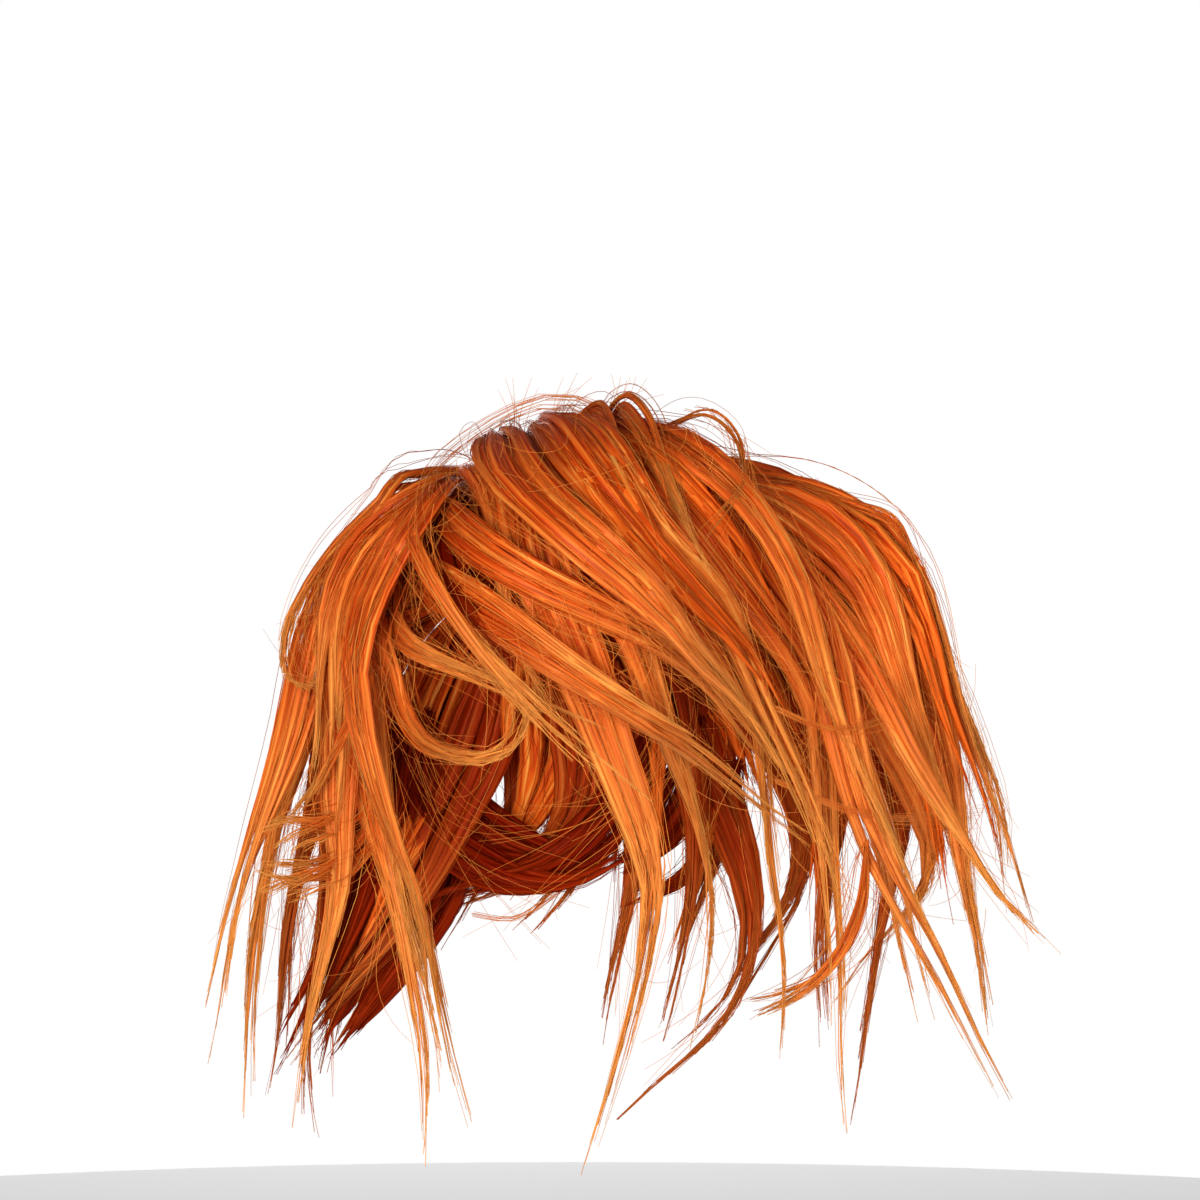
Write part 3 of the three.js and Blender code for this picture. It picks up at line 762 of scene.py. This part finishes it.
class HairpieceStrands(bpy.types.PropertyGroup):
    """Sizes of the strands in the locks."""

    per_width: FloatProperty(
        name="Strands", description="Strands for each millimetre of half width", default=22.0)
    most: IntProperty(name="Most strands", description="Most strands in one lock", default=170)
    least: IntProperty(name="Least strands", description="Fewest strands in one lock", default=50)
    curl_points: IntProperty(name="Curl points", description="Points along a strand of a curl", default=34)
    # Shade: brightness of the painted-shade copy of the hair, for the locks behind
    shade: FloatProperty(name="Shade", description="Brightness of the locks behind", default=0.58)
    # Depth shade: brightness of the painted deep shade on the hair inside
    deep: FloatProperty(name="Depth shade", description="Brightness of the hair inside", default=0.32)
    wisps_per_width: FloatProperty(
        name="Wisps", description="Wisps for each millimetre of half width", default=1.6)
    points: IntProperty(name="Points", description="Points along each strand", default=22)
    radius: length("Strand radius", "Half thickness of a strand", 0.19 * MM)
    wisp_width: FloatProperty(
        name="Wisp width", description="Width of a wisp over that of its lock", default=0.28)
    wisp_thickness: FloatProperty(
        name="Wisp thickness", description="Thickness of a wisp over that of its lock", default=0.42)
    fullness: length("Fullness", "Half width that a lock keeps at its tip", 1.8 * MM)
    spread: FloatProperty(name="Spread", description="Width of the hair over that of its lock", default=1.2)
    frizz: length("Frizz", "How far a strand waves off its wisp", 1.1 * MM)
    sway: length("Sway", "How far a whole lock waves off its line", 10.0 * MM)
    tangle: length("Tangle", "How far a wisp waves off its lock", 2.6 * MM)
    fray: length("Fray", "How far the wisps part at the tip", 5.0 * MM)
    stray: length("Stray", "How far a stray hair bows out of its wisp", 6.0 * MM)
    wrap_radius: length("Wrap radius", "How far the roots lie from the cord's middle", 3.5 * MM)
    wrap_thickness: length("Wrap thickness", "Half thickness of the hair round the cord", 0.8 * MM)
    tip_reach: length("Tip reach", "How far the tips run past the lock", 19.0 * MM)


class HairpieceLoose(bpy.types.PropertyGroup):
    """Sizes of the loose hairs."""

    count: IntProperty(name="Loose hairs", description="Single hairs that leave the locks", default=1250)
    radius: length("Hair radius", "Half thickness of a single hair", 0.1 * MM)
    seed: IntProperty(name="Seed", description="Seed of the loose hairs", default=11)


class HairpieceBand(bpy.types.PropertyGroup):
    """Sizes of the elastic band and its thread."""

    radius: length("Band radius", "Radius of the band's centre line", 28.0 * MM)
    cord: length("Cord radius", "Half thickness of the band", 2.5 * MM)
    plaits: IntProperty(name="Plaits", description="Ridges of the cover round the band", default=88)
    turns: IntProperty(name="Turns", description="Turns of the sewing thread", default=132)
    thread: length("Thread radius", "Half thickness of the thread", 0.24 * MM)


class HairpieceStage(bpy.types.PropertyGroup):
    """Floor, camera and light."""

    floor: colour("Floor", "Colour of the floor", (0.92, 0.92, 0.92))
    floor_radius: length("Floor radius", "Half width of the floor", 700.0 * MM)
    drop: length("Drop", "Gap between the tips and the floor", 100.0 * MM)
    distance: length("Camera distance", "From the camera to the band", 1500.0 * MM)
    view_width: length("View width", "Width of the view at the band", 384.0 * MM)
    ambient: FloatProperty(name="Ambient", description="Light from all round", default=0.17)
    center_x: length("View centre, across", "Middle of the view", 8.96 * MM)
    center_z: length("View centre, up", "Middle of the view", -24.3 * MM)


class HairpieceSettings(bpy.types.PropertyGroup):
    """Everything that a user may change."""

    colors: PointerProperty(type=HairpieceColors)
    strands: PointerProperty(type=HairpieceStrands)
    loose: PointerProperty(type=HairpieceLoose)
    band: PointerProperty(type=HairpieceBand)
    stage: PointerProperty(type=HairpieceStage)


def between(first, second):
    """Sections half-way between two neighbouring locks, for as long as they run side by side."""
    rows = []
    for one, other in zip(first, second):
        if (one[0] - other[0]).length > SIDE_BY_SIDE:
            break
        turned = [half if half.dot(own) > 0 else -half for half, own in zip(other[1:], one[1:])]
        rows.append((
            (one[0] + other[0]) / 2, (one[1] + turned[0]) / 2, (one[2] + turned[1]) / 2))
    return rows


def hair_finishes(settings):
    """The hair's materials: lit, with painted shade for the locks behind, with painted deep shade inside, at
    the roots, loose, and that of the fine hairs.
    """
    colors = settings.colors
    stops = [colors.depth, colors.dark, colors.main, colors.bright, colors.gold]
    shade = settings.strands.shade
    deep = settings.strands.deep
    return {
        "hair": hair_material("orange_hair", stops, colors.root, colors.gold, root_reach=0.45, gloss=0.3),
        # The locks behind: a painted-shade copy of the lit hair
        "shaded_hair": hair_material(
            "shaded_orange_hair", [shaded(stop, shade) for stop in stops], shaded(colors.root, shade),
            shaded(colors.gold, shade), root_reach=0.9, gloss=0.12),
        # The hair inside: a darker painted-shade copy, standing in for the shade under the bun
        "deep": hair_material(
            "deep_shade_orange_hair", [shaded(stop, deep) for stop in stops], shaded(colors.root, deep),
            shaded(colors.bright, deep), root_reach=0.9, gloss=0.05),
        # The short hair between the locks, with the root's painted shade reaching further along
        "root": hair_material(
            "root_orange_hair", stops, colors.root, colors.main, root_reach=0.6, gloss=0.1),
        "loose": hair_material(
            "loose_orange_hair", stops, colors.bright, colors.gold, root_reach=0.1, gloss=0.3),
        "fine": hair_material(
            FINE_FINISH, [colors.main, colors.bright, colors.fine], colors.fine, colors.fine,
            root_reach=0.1, gloss=0.3),
    }


def root_angle(sections):
    """Where round the band a lock is sewn on."""
    return math.atan2(sections[0][0].z, sections[0][0].x)


def join_pieces(name, parts):
    """One mesh object from several."""
    with bpy.context.temp_override(active_object=parts[0], selected_editable_objects=parts):
        bpy.ops.object.join()
    parts[0].name = name
    parts[0].data.name = name
    return parts[0]


class HAIRPIECE_OT_locks(bpy.types.Operator):
    """Grow every lock's strands, the short hair between the locks, and the wisps on and behind them"""

    bl_idname = "hairpiece.locks"
    bl_label = "Locks"

    def execute(self, context):
        settings = context.scene.hairpiece
        graph = strand_graph()
        finishes = hair_finishes(settings)
        locks = self.grow_locks(settings, graph, finishes)
        self.fill_roots(settings, graph, finishes, locks)
        self.grow_wisps(settings, graph, finishes, locks)
        return {"FINISHED"}

    @staticmethod
    def grow_locks(settings, graph, finishes):
        """One piece of hair for each lock, and the sections that it follows."""
        sizes = settings.strands
        ring = settings.band.radius
        locks = {}
        for number, node in enumerate(LOCK_NODES):
            sections = lock_sections(node, ring)
            # Locks of the shaded slot take the painted-shade copy of the hair
            finish = finishes[SLOT_OF[node]]
            changes = {}
            if node in CURLED_LOCKS:
                changes |= {"Points": sizes.curl_points, **CURL}
            else:
                sections = rounded(sections)
            if node in THIN_LOCKS:
                changes |= THIN
                finish = finishes["fine"]
            rows = lock_rows(sections, ring, sizes)
            piece = grow_lock(graph, sizes, node + "_hair", rows, SEED_STEP * number, finish, changes)
            place_piece(piece, SLOT_OF[node], node)
            locks[node] = sections
        return locks

    @staticmethod
    def fill_roots(settings, graph, finishes, locks):
        """The short hair between neighbouring locks."""
        sizes = settings.strands
        order = sorted((rows for node, rows in locks.items() if node not in CURLED_LOCKS), key=root_angle)
        fillers = []
        for number, (first, second) in enumerate(zip(order, order[1:] + order[:1])):
            shared = between(first, second)
            if len(shared) > LEAST_SHARED:
                rows = lock_rows(shared, settings.band.radius, sizes)
                fillers.append(grow_lock(
                    graph, sizes, f"filler_{number}", rows, FILLER_SEED + SEED_STEP * number,
                    finishes["root"], FILLER))
        place_piece(join_pieces("root_hair", fillers), "hair")

    @staticmethod
    def grow_wisps(settings, graph, finishes, locks):
        """The wisps on the locks' face, the frizzy ends and the hair inside."""
        sections = [section for rows in locks.values() for section in rows]

        def face(points):
            return face_route(points, sections)

        for name, slot_name, finish, wisps, route, changes in (
                ("loose_wisps", "hair", "loose", LOOSE_WISPS, face, LOOSE),
                ("side_ends", "hair", "loose", SIDE_ENDS, placed_route, FRIZZY),
                # The hair inside takes the painted deep shade
                ("inner_hair", "shaded_hair", "deep", INNER_WISPS, placed_route, INNER)):
            parts = []
            for number, (label, half_width, points) in enumerate(wisps):
                parts.append(grow_lock(
                    graph, settings.strands, label, wisp_rows(half_width, route(points)),
                    WISP_SEED + SEED_STEP * number, finishes[finish], changes))
            place_piece(join_pieces(name, parts), slot_name)


def fine_lines(wisp, sections, chance):
    """Single hairs side by side, laid on the locks under them."""
    _, hairs, width, points = wisp
    route = face_route(points, sections)
    last = len(route) - 1
    lines = []
    for _ in range(hairs):
        shift = Vector([chance.uniform(-0.5, 0.5) * width * MM for _ in range(3)])
        part = Vector([chance.gauss(0, 0.5) * width * MM for _ in range(3)])
        lines.append([point + shift * 0.6 + part * (k / last) ** 2 for k, point in enumerate(route)])
    return lines


def stray_line(locks, chance, near):
    """One hair that curves off a lock, or nothing where it would leave the hair."""
    sections = locks[chance.choice(LOCK_NODES)]
    at = chance.randrange(len(sections) // 5, len(sections) - 3)
    center, across, through = sections[at]
    turn = chance.uniform(0, 2 * math.pi)
    out = across * math.cos(turn) + through * math.sin(turn)
    ahead = (sections[at + 1][0] - center).normalized()
    sideways = ahead.cross(out).normalized() * chance.gauss(0, 0.25)
    heading = ahead + sideways + out.normalized() * chance.uniform(-0.1, 0.1)
    curl = Vector([chance.gauss(0, 0.2) for _ in range(3)])
    step = chance.uniform(2, 7) * MM
    point = center + out * chance.uniform(0.9, 1.2)
    line = [point]
    for _ in range(STRAY_STEPS):
        heading = (heading.normalized() + curl + STRAY_FALL).normalized()
        point = point + heading * step
        line.append(point)
    room = chance.uniform(5, 11) * MM
    return line if all(near.find(point)[2] < room for point in line) else None


class HAIRPIECE_OT_loose_hairs(bpy.types.Operator):
    """Grow the single hairs that leave the locks, and the fine lines of hair across them"""

    bl_idname = "hairpiece.loose_hairs"
    bl_label = "Loose hairs"

    def execute(self, context):
        settings = context.scene.hairpiece
        sizes = settings.loose
        chance = random.Random(sizes.seed)
        locks = {node: lock_sections(node, settings.band.radius) for node in LOCK_NODES}
        sections = [section for rows in locks.values() for section in rows]
        near = KDTree(len(sections))
        for number, (center, _, _) in enumerate(sections):
            near.insert(center, number)
        near.balance()
        lines = []
        for wisp in FINE_LINES:
            lines += fine_lines(wisp, sections, chance)
        while len(lines) < sizes.count:
            line = stray_line(locks, chance, near)
            if line:
                lines.append(line)
        hair_of = [number for number, line in enumerate(lines) for _ in line]
        piece = grow("loose_hairs", guide_mesh("loose_guide", lines, hair_of=hair_of), hair_graph(), {
            "Hairs": len(lines), "Radius": sizes.radius, "Finish": bpy.data.materials[FINE_FINISH], **SINGLE})
        place_piece(piece, "hair")
        return {"FINISHED"}


class HAIRPIECE_OT_band(bpy.types.Operator):
    """Make the covered elastic and the thread that holds the locks to it"""

    bl_idname = "hairpiece.band"
    bl_label = "Band and thread"

    def execute(self, context):
        settings = context.scene.hairpiece
        sizes = settings.band
        band = self.cover(sizes)
        band.data.materials.append(
            knit_material("covered_elastic", settings.colors.elastic, settings.colors.elastic_worn))
        place_piece(band, "elastic", BAND_NODE)
        thread = self.whip_stitch(sizes, knit_material(
            "sewing_thread", settings.colors.depth, settings.colors.dark))
        place_piece(thread, "elastic")
        return {"FINISHED"}

    @staticmethod
    def cover(sizes):
        """A closed ring whose cover is plaited from two sets of slanted ridges."""
        around = sizes.plaits * RIDGE_STEPS
        rim = CORD_CORNERS
        shape = bmesh.new()
        layer = shape.loops.layers.uv.new(UV_MAP)
        rows = []
        for i in range(around):
            turn = 2 * math.pi * i / around
            row = []
            for j in range(rim):
                lean = 2 * math.pi * j / rim
                rise = max(abs(math.cos((sizes.plaits * turn + PLAIT_SLANT * lean) / 2)),
                           abs(math.cos((sizes.plaits * turn - PLAIT_SLANT * lean) / 2)))
                cord = sizes.cord * (1 - PLAIT_HEIGHT * (1 - rise))
                reach = sizes.radius + cord * math.cos(lean)
                row.append(shape.verts.new((
                    reach * math.cos(turn), cord * math.sin(lean), reach * math.sin(turn))))
            rows.append(row)
        for i in range(around):
            for j in range(rim):
                face = shape.faces.new((
                    rows[i][j], rows[i][(j + 1) % rim], rows[(i + 1) % around][(j + 1) % rim],
                    rows[(i + 1) % around][j]))
                face.smooth = True
                corners = ((i, j), (i, j + 1), (i + 1, j + 1), (i + 1, j))
                for loop, (along, over) in zip(face.loops, corners):
                    loop[layer].uv = (along / around, over / rim)
        bmesh.ops.recalc_face_normals(shape, faces=shape.faces)
        mesh = bpy.data.meshes.new("covered_band")
        shape.to_mesh(mesh)
        shape.free()
        band = bpy.data.objects.new("covered_band", mesh)
        bpy.context.scene.collection.objects.link(band)
        return band

    @staticmethod
    def whip_stitch(sizes, finish):
        """One thread wound round the cord all the way along the band."""
        count = sizes.turns * STEPS_A_TURN
        reach = sizes.cord + sizes.thread * 0.6
        line = []
        for k in range(count + 1):
            turn = 2 * math.pi * k / count
            lean = turn * sizes.turns
            far = sizes.radius + reach * math.cos(lean)
            line.append(Vector((far * math.cos(turn), reach * math.sin(lean), far * math.sin(turn))))
        guide = guide_mesh("thread_guide", [line], hair_of=[0] * len(line))
        return grow("sewing_thread", guide, hair_graph(), {
            "Hairs": 1, "Points": count, "Seed": 3, "Radius": sizes.thread, "Taper": 0.0, "Finish": finish})


def area_light(name, place, target, size, power):
    """A soft square light that faces a target."""
    light = bpy.data.lights.new(name, "AREA")
    light.size = size
    light.energy = power
    lamp = bpy.data.objects.new(name, light)
    lamp.location = place
    lamp.rotation_euler = (Vector(target) - Vector(place)).to_track_quat("-Z", "Y").to_euler()
    bpy.context.scene.collection.objects.link(lamp)


class HAIRPIECE_OT_stage(bpy.types.Operator):
    """Set the floor, the light and the camera"""

    bl_idname = "hairpiece.stage"
    bl_label = "Stage"

    def execute(self, context):
        sizes = context.scene.hairpiece.stage
        shape = bmesh.new()
        bmesh.ops.create_circle(shape, cap_ends=True, segments=96, radius=sizes.floor_radius)
        bmesh.ops.translate(shape, verts=shape.verts, vec=(0, 0, CAD_LOW.z - sizes.drop))
        mesh = bpy.data.meshes.new("floor")
        shape.to_mesh(mesh)
        shape.free()
        mesh.materials.append(floor_material("pale_floor", sizes.floor))
        floor = bpy.data.objects.new("floor", mesh)
        context.scene.collection.objects.link(floor)

        middle = (sizes.center_x, 0.0, sizes.center_z)
        for name, place, size, power in LIGHTS:
            area_light(name, place, middle, size, power)
        world = bpy.data.worlds.new("studio")
        world.use_nodes = True
        world.node_tree.nodes.clear()
        graph = Graph(world.node_tree)
        seen = graph.node("ShaderNodeLightPath", output="Is Camera Ray")
        backdrop = graph.node("ShaderNodeBackground", {}, {
            "Color": (1.0, 1.0, 1.0, 1.0), "Strength": sizes.ambient + (1 - sizes.ambient) * seen})
        graph.node("ShaderNodeOutputWorld", {}, {"Surface": backdrop})
        context.scene.world = world
        context.scene.view_settings.view_transform = "Standard"

        view = bpy.data.cameras.new("camera")
        view.sensor_width = 36.0
        view.lens = view.sensor_width * sizes.distance / sizes.view_width
        camera = bpy.data.objects.new("camera", view)
        camera.location = (sizes.center_x, -sizes.distance, sizes.center_z)
        camera.rotation_euler = (math.pi / 2, 0.0, 0.0)
        context.scene.collection.objects.link(camera)
        context.scene.camera = camera
        return {"FINISHED"}


class HAIRPIECE_PT_panel(bpy.types.Panel):
    """Lists the hairpiece's pieces"""

    bl_idname = "HAIRPIECE_PT_panel"
    bl_label = "Messy bun hairpiece"
    bl_space_type = "VIEW_3D"
    bl_region_type = "UI"
    bl_category = "Hairpiece"

    def draw(self, context):
        for operator in OPERATORS:
            self.layout.operator(operator.bl_idname)


OPERATORS = (HAIRPIECE_OT_locks, HAIRPIECE_OT_loose_hairs, HAIRPIECE_OT_band, HAIRPIECE_OT_stage)
CLASSES = (
    HairpieceColors, HairpieceStrands, HairpieceLoose, HairpieceBand, HairpieceStage, HairpieceSettings,
    *OPERATORS, HAIRPIECE_PT_panel)


def register():
    """Adds the classes and the settings."""
    for cls in CLASSES:
        bpy.utils.register_class(cls)
    bpy.types.Scene.hairpiece = PointerProperty(type=HairpieceSettings)


def unregister():
    """Takes the classes and the settings away."""
    del bpy.types.Scene.hairpiece
    for cls in reversed(CLASSES):
        bpy.utils.unregister_class(cls)


def main():
    """Makes every piece."""
    register()
    bpy.ops.hairpiece.locks()
    bpy.ops.hairpiece.loose_hairs()
    bpy.ops.hairpiece.band()
    bpy.ops.hairpiece.stage()
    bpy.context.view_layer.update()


if __name__ == "__main__":
    main()
